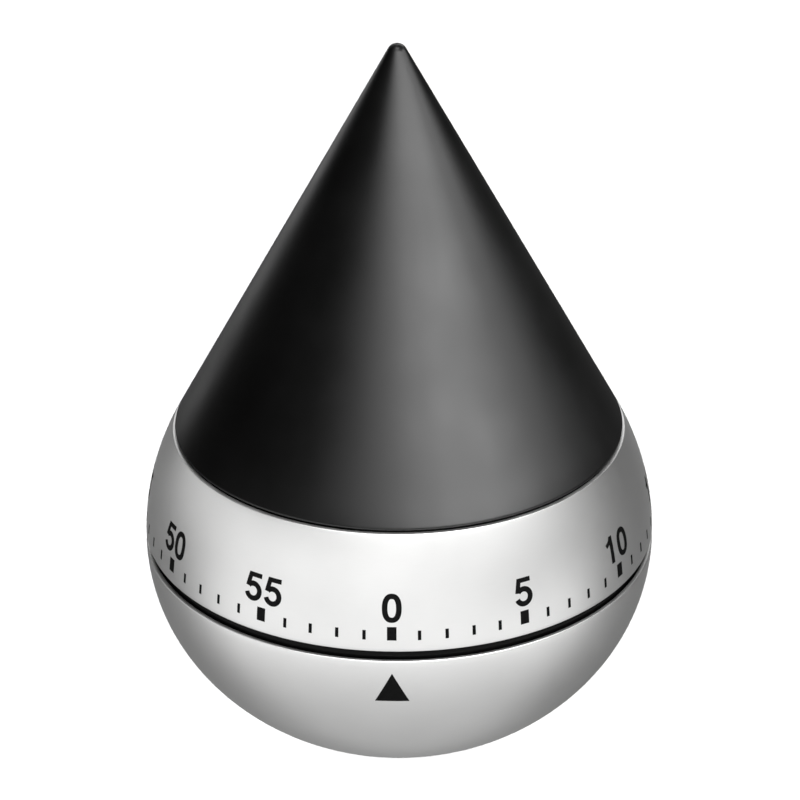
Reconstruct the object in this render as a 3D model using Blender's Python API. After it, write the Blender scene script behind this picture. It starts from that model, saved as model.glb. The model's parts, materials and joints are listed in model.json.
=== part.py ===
"""A clockwork kitchen timer shaped like a drop.

The steel bowl holds a plastic housing with the clockwork and its bell. The steel dial ring and the
cone above it turn together on the clockwork's main arbor. Metres, +Z up, resting on z = 0, with the
index mark facing -Y.
"""

import math

import bmesh
import bpy

MM = 0.001

# Driving dimensions of the outside.
BODY_RADIUS = 33.0 * MM
EQUATOR_Z = 25.0 * MM
CUP_DEPTH = 28.7 * MM            # vertical half-axis of the lower bowl
CONE_HALF_ANGLE = math.radians(28.2)
TIP_RADIUS = 1.3 * MM
CAP_EDGE_Z = 40.8 * MM
RING_TOP_Z = 40.5 * MM
RING_BOTTOM_Z = 26.0 * MM
CUP_TOP_Z = 24.6 * MM
CUP_FLANGE_Z = 1.6 * MM
STEEL = 0.6 * MM                 # sheet thickness
CAP_WALL = 2.0 * MM
HOUSING_WALL = 1.6 * MM
GAP = 0.3 * MM                   # between pieces that touch
RUNNING = 0.08 * MM              # between a shaft and its hole
SHELL_SIDES = 40
INNER_SIDES = 32

# Levels of the clockwork: bottom and top of each layer.
BACK_PLATE = (12.0 * MM, 13.0 * MM)
FRONT_PLATE = (27.0 * MM, 28.0 * MM)
BARREL_GEAR = (13.6 * MM, 14.8 * MM)
BARREL_TOP = 19.3 * MM
MAIN_LEVEL = (21.0 * MM, 22.0 * MM)
SECOND_LEVEL = (24.0 * MM, 24.8 * MM)
THIRD_LEVEL = (16.0 * MM, 16.8 * MM)
ESCAPE_LEVEL = (20.0 * MM, 20.8 * MM)
PALLET_LEVEL = (21.2 * MM, 22.0 * MM)
BALANCE_LEVEL = (22.6 * MM, 23.6 * MM)
STRIKE_LEVEL = (22.6 * MM, 23.6 * MM)
CAM_LEVEL = (25.3 * MM, 26.3 * MM)
STOP_LEVEL = (29.0 * MM, 29.8 * MM)
WEB_LEVEL = (36.6 * MM, 38.3 * MM)
PINION_OVERLAP = 0.5 * MM        # how far a pinion stands past its wheel

# Gears: teeth and modules. Every pinion has eight leaves.
PINION_TEETH = 8
MAIN_TEETH, MAIN_MODULE = 60, 0.40 * MM
SECOND_TEETH, SECOND_MODULE = 48, 0.35 * MM
THIRD_TEETH, THIRD_MODULE = 42, 0.30 * MM
BARREL_TEETH, BARREL_MODULE = 40, 0.60 * MM
PRESSURE_ANGLE = math.radians(28.0)
ADDENDUM = 0.80
DEDENDUM = 1.05
BACKLASH = 0.10                  # share of a tooth's thickness that is left out
ESCAPE_TEETH, ESCAPE_RADIUS = 15, 5.0 * MM
STAR_TEETH, STAR_RADIUS = 10, 5.0 * MM

# Radii of the shafts.
ARBOR_RADIUS = 2.0 * MM
SHAFT_RADIUS = 0.8 * MM
PIVOT_RADIUS = 0.5 * MM

# Plan of the clockwork: how far each arbor stands from the main arbor, and the train's direction.
TRAIN_ANGLE = math.radians(20.0)
SECOND_REACH = 13.6 * MM
OUTER_REACH = 19.5 * MM
STRIKE_REACH = 14.4 * MM
HAMMER_REACH = 19.5 * MM
THIRD_CENTRES = 9.8 * MM
ESCAPE_CENTRES = 7.5 * MM
PALLET_CENTRES = 7.2 * MM
HAMMER_CENTRES = 7.5 * MM
PILLAR_REACH = 23.2 * MM
PILLAR_ANGLES = [TRAIN_ANGLE + math.radians(turn) for turn in (-30.0, 102.0, 225.0)]
BOSS_REACH = 21.6 * MM
BOSS_ANGLES = [TRAIN_ANGLE + math.radians(turn) for turn in (5.0, 125.0, 250.0)]
BASE_SCREW_REACH = 8.0 * MM
CAP_SCREW_REACH = 22.0 * MM
THIRDS = [math.radians(90.0 + 120.0 * number) for number in range(3)]
STOP_REACH = 15.3 * MM
STOP_ANGLE = math.radians(-60.0)
STOP_CLEARANCE = math.radians(3.0)
LEVER_REACH = 13.5 * MM
LEVER_ANGLE = TRAIN_ANGLE + math.radians(160.0)
CAM_RADIUS = 6.0 * MM
CAM_ANGLE = LEVER_ANGLE - math.acos(CAM_RADIUS / LEVER_REACH)
BELL_RADIUS = 14.5 * MM


# ---------------------------------------------------------------- points

def mm(points):
    """The same points, given in millimetres."""
    return [tuple(value * MM for value in point) for point in points]


def polar(radius, angle, centre=(0.0, 0.0)):
    return centre[0] + radius * math.cos(angle), centre[1] + radius * math.sin(angle)


def circle(radius, count, centre=(0.0, 0.0)):
    return [polar(radius, math.tau * number / count, centre) for number in range(count)]


def arc(radius, start, end, count, centre=(0.0, 0.0), height=None):
    """Points on an ellipse's arc, both ends included; height is its second half-axis."""
    height = radius if height is None else height
    angles = [start + (end - start) * number / (count - 1) for number in range(count)]
    return [(centre[0] + radius * math.cos(a), centre[1] + height * math.sin(a)) for a in angles]


def angle_between(reach_a, reach_b, distance):
    """The angle at the main arbor between two arbors that stand a given distance apart."""
    cosine = (reach_a ** 2 + reach_b ** 2 - distance ** 2) / (2 * reach_a * reach_b)
    return math.acos(cosine)


def turned_about(points, angle, centre=(0.0, 0.0)):
    """Points given along a local +X axis, laid along a direction from the centre."""
    cosine, sine = math.cos(angle), math.sin(angle)
    return [(centre[0] + x * cosine - y * sine, centre[1] + x * sine + y * cosine) for x, y in points]


THIRD_ANGLE = TRAIN_ANGLE + angle_between(SECOND_REACH, OUTER_REACH, THIRD_CENTRES)
ESCAPE_ANGLE = THIRD_ANGLE + angle_between(OUTER_REACH, OUTER_REACH, ESCAPE_CENTRES)
BALANCE_ANGLE = ESCAPE_ANGLE + angle_between(OUTER_REACH, OUTER_REACH, PALLET_CENTRES)
STRIKE_ANGLE = TRAIN_ANGLE + math.pi
HAMMER_ANGLE = STRIKE_ANGLE + angle_between(STRIKE_REACH, HAMMER_REACH, HAMMER_CENTRES)

MAIN = (0.0, 0.0)
SECOND = polar(SECOND_REACH, TRAIN_ANGLE)
THIRD = polar(OUTER_REACH, THIRD_ANGLE)
ESCAPE = polar(OUTER_REACH, ESCAPE_ANGLE)
BALANCE = polar(OUTER_REACH, BALANCE_ANGLE)
STRIKE = polar(STRIKE_REACH, STRIKE_ANGLE)
HAMMER = polar(HAMMER_REACH, HAMMER_ANGLE)
LEVER = polar(LEVER_REACH, LEVER_ANGLE)


# ---------------------------------------------------------------- gears

def involute(angle):
    return math.tan(angle) - angle


def half_tooth(radius, pitch_radius, teeth):
    """Half the angle that a tooth covers at a radius."""
    base_radius = pitch_radius * math.cos(PRESSURE_ANGLE)
    at_radius = math.acos(min(1.0, base_radius / radius))
    half_at_pitch = math.pi / (2 * teeth) * (1.0 - BACKLASH)
    return half_at_pitch + involute(PRESSURE_ANGLE) - involute(at_radius)


def gear_outline(teeth, module, flank_points, turn=0.0):
    pitch_radius = teeth * module / 2
    root = pitch_radius - DEDENDUM * module
    tip = pitch_radius + ADDENDUM * module
    radii = [root + (tip - root) * step / (flank_points - 1) for step in range(flank_points)]
    outline = []
    for tooth in range(teeth):
        middle = turn + math.tau * tooth / teeth
        outline += [polar(r, middle - half_tooth(r, pitch_radius, teeth)) for r in radii]
        outline += [polar(r, middle + half_tooth(r, pitch_radius, teeth)) for r in reversed(radii)]
    return outline


def pointed_outline(teeth, tip, root, lean):
    """A wheel of pointed teeth; lean moves each tip sideways, as a share of the pitch."""
    pitch = math.tau / teeth
    outline = []
    for tooth in range(teeth):
        start = tooth * pitch
        outline.append(polar(root, start))
        outline.append(polar(tip, start + (0.40 + lean) * pitch))
        outline.append(polar(tip, start + (0.46 + lean) * pitch))
        outline.append(polar(root, start + 0.86 * pitch))
    return outline


def mesh_turn(turn, teeth, centre, other_teeth, other_centre):
    """The turn that puts a gap of the other gear on this gear's tooth."""
    line = math.atan2(other_centre[1] - centre[1], other_centre[0] - centre[0])
    return line + math.pi + math.pi / other_teeth - (turn - line) * teeth / other_teeth


def windows(inner, outer, count, web):
    """Openings between a wheel's spokes, which are web wide."""
    openings = []
    for number in range(count):
        start = math.tau * number / count
        end = start + math.tau / count
        far = arc(outer, start + web / (2 * outer), end - web / (2 * outer), 5)
        near = arc(inner, end - web / (2 * inner), start + web / (2 * inner), 3)
        openings.append(far + near)
    return openings


# ---------------------------------------------------------------- building

def clear_scene():
    for item in list(bpy.data.objects):
        bpy.data.objects.remove(item, do_unlink=True)


def material(name, colour, roughness, metallic):
    made = bpy.data.materials.new(name)
    made.use_nodes = True
    shader = made.node_tree.nodes["Principled BSDF"]
    shader.inputs["Base Color"].default_value = (*colour, 1.0)
    shader.inputs["Roughness"].default_value = roughness
    shader.inputs["Metallic"].default_value = metallic
    made.diffuse_color = (*colour, 1.0)
    return made


def finish_mesh(name, bm, made_of, place=(0.0, 0.0)):
    """Turn a bmesh into a named object whose origin stands at place, on its own axis."""
    bmesh.ops.remove_doubles(bm, verts=bm.verts, dist=1e-7)
    bmesh.ops.recalc_face_normals(bm, faces=bm.faces)
    mesh = bpy.data.meshes.new(name)
    bm.to_mesh(mesh)
    bm.free()
    mesh.shade_smooth()
    mesh.set_sharp_from_angle(angle=math.radians(30.0))
    piece = bpy.data.objects.new(name, mesh)
    piece.location = (place[0], place[1], 0.0)
    bpy.context.scene.collection.objects.link(piece)
    if made_of:
        mesh.materials.append(made_of)
    return piece


def revolve(name, profile, sides, made_of, place=(0.0, 0.0)):
    """Spin a profile of (radius, z) points; one that leaves the axis open is a closed ring."""
    bm = bmesh.new()
    verts = [bm.verts.new((r, 0.0, z)) for r, z in profile]
    edges = [bm.edges.new(pair) for pair in zip(verts, verts[1:])]
    if profile[0][0] > 0.0:
        edges.append(bm.edges.new((verts[-1], verts[0])))
    bmesh.ops.spin(bm, geom=verts + edges, cent=(0, 0, 0), axis=(0, 0, 1), dvec=(0, 0, 0),
                   angle=math.tau, steps=sides, use_merge=True)
    return finish_mesh(name, bm, made_of, place)


def prism_into(bm, outlines, bottom, top):
    """Fill the first outline, less the others, and raise it from bottom to top."""
    edges = []
    for outline in outlines:
        verts = [bm.verts.new((x, y, bottom)) for x, y in outline]
        edges += [bm.edges.new(pair) for pair in zip(verts, verts[1:] + verts[:1])]
    filled = bmesh.ops.triangle_fill(bm, edges=edges, use_beauty=True, use_dissolve=False)
    faces = [item for item in filled["geom"] if isinstance(item, bmesh.types.BMFace)]
    raised = bmesh.ops.extrude_face_region(bm, geom=faces)
    verts = [item for item in raised["geom"] if isinstance(item, bmesh.types.BMVert)]
    bmesh.ops.translate(bm, verts=verts, vec=(0.0, 0.0, top - bottom))


def plate(name, outlines, level, made_of, place=(0.0, 0.0)):
    bm = bmesh.new()
    prism_into(bm, outlines, *level)
    return finish_mesh(name, bm, made_of, place)


def helper(name, outlines, level, place=(0.0, 0.0)):
    """Prisms, one for each outline, that shape another piece and aren't part of the timer."""
    bm = bmesh.new()
    for outline in outlines:
        prism_into(bm, [outline], *level)
    piece = finish_mesh(name, bm, None, place)
    piece.hide_render = True
    piece.display_type = "WIRE"
    return piece


def boolean(piece, operation, tool):
    modifier = piece.modifiers.new(tool.name, "BOOLEAN")
    modifier.operation = operation
    modifier.solver = "EXACT"
    modifier.object = tool


def wire(name, points, radius, made_of):
    """A bent wire through the points, with closed ends."""
    curve = bpy.data.curves.new(name, "CURVE")
    curve.dimensions = "3D"
    curve.bevel_depth = radius
    curve.bevel_resolution = 0
    curve.use_fill_caps = True
    spline = curve.splines.new("POLY")
    spline.points.add(len(points) - 1)
    for point, (x, y, z) in zip(spline.points, points):
        point.co = (x, y, z, 1.0)
    curve.materials.append(made_of)
    piece = bpy.data.objects.new(name, curve)
    bpy.context.scene.collection.objects.link(piece)
    return piece


# ---------------------------------------------------------------- outside

def cone_apex_z():
    """Where the cone, tangent to the body's sphere, would end in a point."""
    return EQUATOR_Z + BODY_RADIUS / math.sin(CONE_HALF_ANGLE)


def cone_radius(z, inset=0.0):
    return (cone_apex_z() - inset / math.sin(CONE_HALF_ANGLE) - z) * math.tan(CONE_HALF_ANGLE)


def cone_cap(soft_touch):
    edge_radius = 0.3 * MM
    skirt_outer = 28.0 * MM
    skirt_inner = 26.2 * MM
    skirt_bottom = 38.6 * MM
    roof_z = 85.0 * MM
    tip_z = cone_apex_z() - TIP_RADIUS / math.sin(CONE_HALF_ANGLE)
    slope_foot = cone_apex_z() - (CAP_WALL / math.sin(CONE_HALF_ANGLE)
                                  + skirt_inner / math.tan(CONE_HALF_ANGLE))
    profile = arc(TIP_RADIUS, math.pi / 2, CONE_HALF_ANGLE, 4, (0.0, tip_z))
    profile[0] = (0.0, tip_z + TIP_RADIUS)
    profile += [(cone_radius(CAP_EDGE_Z + edge_radius), CAP_EDGE_Z + edge_radius),
                (cone_radius(CAP_EDGE_Z) - edge_radius, CAP_EDGE_Z),
                (skirt_outer, CAP_EDGE_Z),
                (skirt_outer, skirt_bottom),
                (skirt_inner, skirt_bottom),
                (skirt_inner, slope_foot),
                (cone_radius(roof_z, CAP_WALL), roof_z),
                (0.0, roof_z)]
    cap = revolve("cone_cap", profile, SHELL_SIDES, soft_touch)
    boss_top = 47.0 * MM
    hole_top = 45.0 * MM
    centres = [polar(CAP_SCREW_REACH, angle) for angle in THIRDS]
    bosses = helper("cap_bosses", [circle(2.2 * MM, 10, c) for c in centres], (skirt_bottom, boss_top))
    holes = helper("cap_boss_holes", [circle(0.95 * MM, 8, c) for c in centres],
                   (skirt_bottom - MM, hole_top))
    boolean(cap, "UNION", bosses)
    boolean(cap, "DIFFERENCE", holes)


def sphere_arc(radius, z_from, z_to, count):
    start = math.asin((z_from - EQUATOR_Z) / radius)
    end = math.asin((z_to - EQUATOR_Z) / radius)
    return arc(radius, start, end, count, (0.0, EQUATOR_Z))


def cup_arc(inset, z_from, z_to, count):
    """Points of the lower bowl's ellipse, moved in by inset."""
    height = CUP_DEPTH - inset
    start = math.asin((z_from - EQUATOR_Z) / height)
    end = math.asin((z_to - EQUATOR_Z) / height)
    return arc(BODY_RADIUS - inset, start, end, count, (0.0, EQUATOR_Z), height)


def dial_ring(satin_steel):
    outer = sphere_arc(BODY_RADIUS, RING_TOP_Z, RING_BOTTOM_Z, 5)
    inner = sphere_arc(BODY_RADIUS - STEEL, RING_BOTTOM_Z, RING_TOP_Z, 4)
    revolve("dial_ring", outer + inner, SHELL_SIDES, satin_steel)


def lower_cup(satin_steel):
    flange_inner = 16.0 * MM
    flange_top = CUP_FLANGE_Z + STEEL
    outer = cup_arc(0.0, CUP_TOP_Z, CUP_FLANGE_Z, 7)
    inner = cup_arc(STEEL, flange_top, CUP_TOP_Z, 6)
    flange = [(flange_inner, CUP_FLANGE_Z), (flange_inner, flange_top)]
    revolve("lower_cup", outer + flange + inner, SHELL_SIDES, satin_steel)


def inner_housing(black_abs):
    collar_top = 29.0 * MM
    collar_outer = 31.5 * MM
    collar_inner = 30.1 * MM
    band_outer = 32.3 * MM
    bottom = CUP_FLANGE_Z + STEEL + GAP
    floor = bottom + HOUSING_WALL
    post_hole = 1.35 * MM
    inset = STEEL + GAP
    profile = [(collar_inner, collar_top), (collar_outer, collar_top),
               (collar_outer, RING_BOTTOM_Z - GAP), (band_outer, RING_BOTTOM_Z - GAP),
               (band_outer, CUP_TOP_Z + GAP)]
    profile += cup_arc(inset, CUP_TOP_Z + GAP, bottom, 6)
    profile += [(post_hole, bottom), (post_hole, floor)]
    profile += cup_arc(inset + HOUSING_WALL, floor, EQUATOR_Z - MM, 5)
    profile += [(collar_inner, EQUATOR_Z)]
    housing = revolve("inner_housing", profile, INNER_SIDES, black_abs)
    base_centres = [polar(BASE_SCREW_REACH, angle) for angle in THIRDS]
    side_centres = [polar(BOSS_REACH, angle) for angle in BOSS_ANGLES]
    tools = [
        ("UNION", helper("housing_low_bosses", [circle(2.2 * MM, 10, c) for c in base_centres],
                         (floor - 0.5 * MM, 6.2 * MM))),
        ("UNION", helper("housing_side_bosses", [circle(2.0 * MM, 10, c) for c in side_centres],
                         (6.3 * MM, BACK_PLATE[0] - GAP))),
        ("DIFFERENCE", helper("housing_low_holes", [circle(1.05 * MM, 8, c) for c in base_centres],
                              (bottom - MM, 5.8 * MM))),
        ("DIFFERENCE", helper("housing_side_holes", [circle(0.95 * MM, 8, c) for c in side_centres],
                              (8.2 * MM, BACK_PLATE[0]))),
    ]
    for operation, tool in tools:
        boolean(housing, operation, tool)


def base_plate(black_abs):
    groove_inner, groove_outer, groove_top = 12.8 * MM, 15.4 * MM, 1.3 * MM
    rim, rim_top = 17.0 * MM, 1.3 * MM
    boss, top, bottom = 15.7 * MM, 2.2 * MM, 0.4 * MM
    profile = [(0.0, top), (boss, top), (boss, rim_top), (rim, rim_top), (rim, bottom + GAP),
               (rim - GAP, bottom), (groove_outer, bottom), (groove_outer, groove_top),
               (groove_inner, groove_top), (groove_inner, bottom), (0.0, bottom)]
    base = revolve("base_plate", profile, SHELL_SIDES, black_abs)
    centres = [polar(BASE_SCREW_REACH, angle) for angle in THIRDS]
    sinks = helper("base_sinks", [circle(2.1 * MM, 12, c) for c in centres], (0.0, 1.3 * MM))
    holes = helper("base_holes", [circle(1.1 * MM, 8, c) for c in centres], (0.0, 3.0 * MM))
    boolean(base, "DIFFERENCE", sinks)
    boolean(base, "DIFFERENCE", holes)


def foot_ring(rubber):
    profile = mm([(13.0, 0.0), (15.2, 0.0), (15.2, 1.1), (13.0, 1.1)])
    revolve("foot_ring", profile, SHELL_SIDES, rubber)


def screw(name, place, head, shank, head_z, end_z, made_of):
    """A slotted screw; its head spans head_z, outer face first, and its shank ends at end_z."""
    outer, seat = head_z
    profile = [(0.0, outer), (head, outer), (head, seat), (shank, seat), (shank, end_z), (0.0, end_z)]
    made = revolve(name, profile, 10, made_of, place)
    half_slot = 0.25 * MM
    depth = 0.45 * (seat - outer)
    bar = [(-head * 1.2, -half_slot), (head * 1.2, -half_slot),
           (head * 1.2, half_slot), (-head * 1.2, half_slot)]
    level = sorted((outer - depth, outer + depth))
    boolean(made, "DIFFERENCE", helper(name + "_slot", [bar], level, place))


def screws(steel):
    for number, angle in enumerate(THIRDS, 1):
        screw(f"base_screw_{number}", polar(BASE_SCREW_REACH, angle), 1.85 * MM, 0.95 * MM,
              (0.5 * MM, 1.2 * MM), 5.5 * MM, steel)
        screw(f"cap_screw_{number}", polar(CAP_SCREW_REACH, angle), 1.8 * MM, 0.85 * MM,
              (35.3 * MM, WEB_LEVEL[0] - 0.2 * MM), 44.6 * MM, steel)
    for number, angle in enumerate(BOSS_ANGLES, 1):
        screw(f"movement_screw_{number}", polar(BOSS_REACH, angle), 1.8 * MM, 0.85 * MM,
              (14.2 * MM, BACK_PLATE[1] + 0.15 * MM), 8.6 * MM, steel)
    screw("hub_screw", MAIN, 3.2 * MM, 0.8 * MM, (39.8 * MM, WEB_LEVEL[1] + 0.2 * MM), 34.4 * MM, steel)


def dial_carrier(black_abs):
    rim_bottom = 33.0 * MM
    rim_wall = 1.6 * MM
    hub, hub_bottom = 5.0 * MM, 30.6 * MM
    web_bottom, web_top = WEB_LEVEL
    outer = sphere_arc(BODY_RADIUS - STEEL - GAP, web_top, rim_bottom, 3)
    inner = sphere_arc(BODY_RADIUS - STEEL - GAP - rim_wall, rim_bottom, web_bottom, 2)
    profile = [(0.0, web_top)] + outer + inner
    profile += [(hub, web_bottom), (hub, hub_bottom), (0.0, hub_bottom)]
    carrier = revolve("dial_carrier", profile, INNER_SIDES, black_abs)
    centres = [polar(CAP_SCREW_REACH, angle) for angle in THIRDS]
    holes = helper("carrier_holes", [circle(1.1 * MM, 8, c) for c in centres], (35.0 * MM, 39.0 * MM))
    square = helper("carrier_square", [square_outline(1.55 * MM)], (hub_bottom - MM, web_top + MM))
    boolean(carrier, "DIFFERENCE", holes)
    boolean(carrier, "DIFFERENCE", square)


def square_outline(half):
    return [(-half, -half), (half, -half), (half, half), (-half, half)]


# ---------------------------------------------------------------- arbors and wheels

def main_arbor(steel):
    pivot = 1.2 * MM
    collar, collar_z = 3.0 * MM, (20.1 * MM, 20.8 * MM)
    round_top, square_top = 30.2 * MM, 38.0 * MM
    profile = [(0.0, round_top), (ARBOR_RADIUS, round_top),
               (ARBOR_RADIUS, collar_z[1]), (collar, collar_z[1]), (collar, collar_z[0]),
               (ARBOR_RADIUS, collar_z[0]), (ARBOR_RADIUS, BACK_PLATE[1] + 0.15 * MM),
               (pivot, BACK_PLATE[1] + 0.15 * MM), (pivot, 11.3 * MM), (0.0, 11.3 * MM)]
    arbor = revolve("main_arbor", profile, 16, steel)
    square = helper("arbor_square", [square_outline(1.38 * MM)], (round_top - 0.5 * MM, square_top))
    hole = helper("arbor_hole", [circle(0.9 * MM, 8)], (34.0 * MM, square_top + MM))
    boolean(arbor, "UNION", square)
    boolean(arbor, "DIFFERENCE", hole)


def shaft_profile(radius, pivot, bottom, top):
    """A shaft between the plates, with a pivot at each end, from bottom to top."""
    low, high = BACK_PLATE[1] + 0.15 * MM, FRONT_PLATE[0] - 0.15 * MM
    return [(0.0, top), (pivot, top), (pivot, high), (radius, high),
            (radius, low), (pivot, low), (pivot, bottom), (0.0, bottom)]


def pinion_arbor(name, place, module, wheel_level, turn, made_of):
    """An arbor with a leaf pinion that meshes with the wheel at wheel_level."""
    profile = shaft_profile(SHAFT_RADIUS, PIVOT_RADIUS, 11.7 * MM, 28.2 * MM)
    arbor = revolve(name, profile, 10, made_of, place)
    outline = gear_outline(PINION_TEETH, module, 3, turn)
    level = (wheel_level[0] - PINION_OVERLAP, wheel_level[1] + PINION_OVERLAP)
    boolean(arbor, "UNION", helper(name + "_leaves", [outline], level, place))


def wheel(name, outline, level, bore, openings, made_of, place=(0.0, 0.0)):
    return plate(name, [outline, circle(bore, 12)] + openings, level, made_of, place)


def going_train(brass, steel):
    bore = SHAFT_RADIUS + RUNNING
    wheel("main_wheel", gear_outline(MAIN_TEETH, MAIN_MODULE, 2), MAIN_LEVEL,
          ARBOR_RADIUS + RUNNING, windows(4.6 * MM, 10.2 * MM, 4, 1.6 * MM), brass)
    second_turn = mesh_turn(0.0, MAIN_TEETH, MAIN, PINION_TEETH, SECOND)
    third_turn = mesh_turn(0.0, SECOND_TEETH, SECOND, PINION_TEETH, THIRD)
    escape_turn = mesh_turn(0.0, THIRD_TEETH, THIRD, PINION_TEETH, ESCAPE)
    pinion_arbor("second_arbor", SECOND, MAIN_MODULE, MAIN_LEVEL, second_turn, steel)
    wheel("second_wheel", gear_outline(SECOND_TEETH, SECOND_MODULE, 2), SECOND_LEVEL, bore,
          windows(2.6 * MM, 6.9 * MM, 4, 1.2 * MM), brass, SECOND)
    pinion_arbor("third_arbor", THIRD, SECOND_MODULE, SECOND_LEVEL, third_turn, steel)
    wheel("third_wheel", gear_outline(THIRD_TEETH, THIRD_MODULE, 2), THIRD_LEVEL, bore,
          windows(2.2 * MM, 5.0 * MM, 4, 1.0 * MM), brass, THIRD)
    pinion_arbor("escape_arbor", ESCAPE, THIRD_MODULE, THIRD_LEVEL, escape_turn, steel)
    wheel("escape_wheel", pointed_outline(ESCAPE_TEETH, ESCAPE_RADIUS, 3.9 * MM, 0.3), ESCAPE_LEVEL,
          bore, windows(1.9 * MM, 3.1 * MM, 3, 0.9 * MM), brass, ESCAPE)


def clutch(spring_steel):
    """The friction washer that presses the main wheel on the arbor's collar, and its clip."""
    bore = ARBOR_RADIUS + RUNNING
    washer = [(bore, 22.9 * MM), (5.2 * MM, 22.35 * MM), (5.2 * MM, 22.1 * MM), (bore, 22.6 * MM)]
    revolve("clutch_washer", washer, 20, spring_steel)
    mouth = math.radians(40.0)
    far = arc(3.8 * MM, mouth, math.tau - mouth, 14)
    near = arc(bore, math.tau - mouth, mouth, 12)
    plate("clutch_clip", [far + near], (23.1 * MM, 23.6 * MM), spring_steel)


def release_cam(steel):
    """A disc with one notch, where the lever's finger drops in at zero."""
    notch_half, notch_radius = math.radians(11.0), CAM_RADIUS - 1.5 * MM
    rim = arc(CAM_RADIUS, CAM_ANGLE + notch_half + 0.06, CAM_ANGLE - notch_half - 0.06 + math.tau, 28)
    notch = arc(notch_radius, CAM_ANGLE - notch_half, CAM_ANGLE + notch_half, 3)
    plate("release_cam", [rim + notch, circle(ARBOR_RADIUS + RUNNING, 12)], CAM_LEVEL, steel)


def stop(steel):
    """The arm on the arbor and the pin on the front plate that end the dial's turn."""
    arm_angle = STOP_ANGLE - STOP_CLEARANCE
    hub, tip, half_tip = 3.6 * MM, 16.0 * MM, 0.3 * MM
    arm = arc(hub, math.radians(25.0), math.radians(335.0), 12)
    arm += [(tip, -half_tip), (tip, half_tip)]
    plate("stop_arm", [turned_about(arm, arm_angle), circle(ARBOR_RADIUS + RUNNING, 12)],
          STOP_LEVEL, steel)
    pin = mm([(0.0, 30.2), (0.45, 30.2), (0.45, 26.8), (0.0, 26.8)])
    revolve("stop_pin", pin, 10, steel, polar(STOP_REACH, STOP_ANGLE))


def balance(brass, steel):
    staff = shaft_profile(0.6 * MM, 0.35 * MM, 11.8 * MM, 28.1 * MM)
    revolve("balance_staff", staff, 10, steel, BALANCE)
    bore = 0.68 * MM
    wheel("balance_wheel", circle(6.2 * MM, 28), BALANCE_LEVEL, bore,
          windows(1.6 * MM, 4.9 * MM, 2, 1.4 * MM), brass, BALANCE)
    to_escape = math.atan2(ESCAPE[1] - BALANCE[1], ESCAPE[0] - BALANCE[0])
    pin_x, pin_y = 1.63 * MM, 2.48 * MM
    anchor = mm([(-1.3, -0.8), (-0.4, -1.4), (1.2, -3.1), (2.2, -3.0), (2.3, -2.1), (1.2, -1.0),
                 (1.2, 1.0), (2.3, 2.1), (2.2, 3.0), (1.2, 3.1), (-0.4, 1.4), (-1.3, 0.8)])
    outlines = [turned_about(anchor, to_escape), circle(bore, 10)]
    pallets = plate("pallet_plate", outlines, PALLET_LEVEL, steel, BALANCE)
    centres = turned_about([(pin_x, -pin_y), (pin_x, pin_y)], to_escape)
    pins = helper("pallet_pins", [circle(0.3 * MM, 8, c) for c in centres],
                  (ESCAPE_LEVEL[0] - 0.3 * MM, PALLET_LEVEL[0] + 0.4 * MM), BALANCE)
    boolean(pallets, "UNION", pins)


# ---------------------------------------------------------------- mainspring barrel and strike

def barrel(brass):
    """The spring's drum, with a gear round its foot, and its cover."""
    wall_outer, wall_inner = 11.2 * MM, 10.5 * MM
    bore = ARBOR_RADIUS + RUNNING
    drum = plate("barrel", [gear_outline(BARREL_TEETH, BARREL_MODULE, 2), circle(bore, 12)],
                 BARREL_GEAR, brass)
    wall = [(wall_inner, BARREL_TOP), (wall_outer, BARREL_TOP),
            (wall_outer, BARREL_GEAR[1] - 0.4 * MM), (wall_inner, BARREL_GEAR[1] - 0.4 * MM)]
    ring = revolve("barrel_wall", wall, 24, None)
    ring.hide_render = True
    ring.display_type = "WIRE"
    boolean(drum, "UNION", ring)
    cover = (BARREL_TOP + 0.1 * MM, BARREL_TOP + 0.6 * MM)
    plate("barrel_cover", [circle(wall_outer, 24), circle(bore, 12)], cover, brass)


def mainspring(spring_steel):
    """A flat spiral strip from the arbor to the drum's wall."""
    turns, per_turn = 5.0, 12
    inner, outer, thickness = 2.8 * MM, 9.7 * MM, 0.3 * MM
    level = (15.1 * MM, 19.1 * MM)
    steps = int(turns * per_turn)
    near, far = [], []
    for step in range(steps + 1):
        angle = math.tau * step / per_turn
        radius = inner + (outer - inner) * step / steps
        near.append(polar(radius, angle))
        far.append(polar(radius + thickness, angle))
    plate("mainspring", [far + near[::-1]], level, spring_steel)


def strike_train(brass, steel):
    turn = mesh_turn(0.0, BARREL_TEETH, MAIN, PINION_TEETH, STRIKE)
    pinion_arbor("strike_arbor", STRIKE, BARREL_MODULE, (BARREL_GEAR[0] + 0.2 * MM, BARREL_GEAR[1]),
                 turn, steel)
    wheel("strike_wheel", pointed_outline(STAR_TEETH, STAR_RADIUS, 3.6 * MM, 0.0), STRIKE_LEVEL,
          SHAFT_RADIUS + RUNNING, [], steel, STRIKE)


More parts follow.
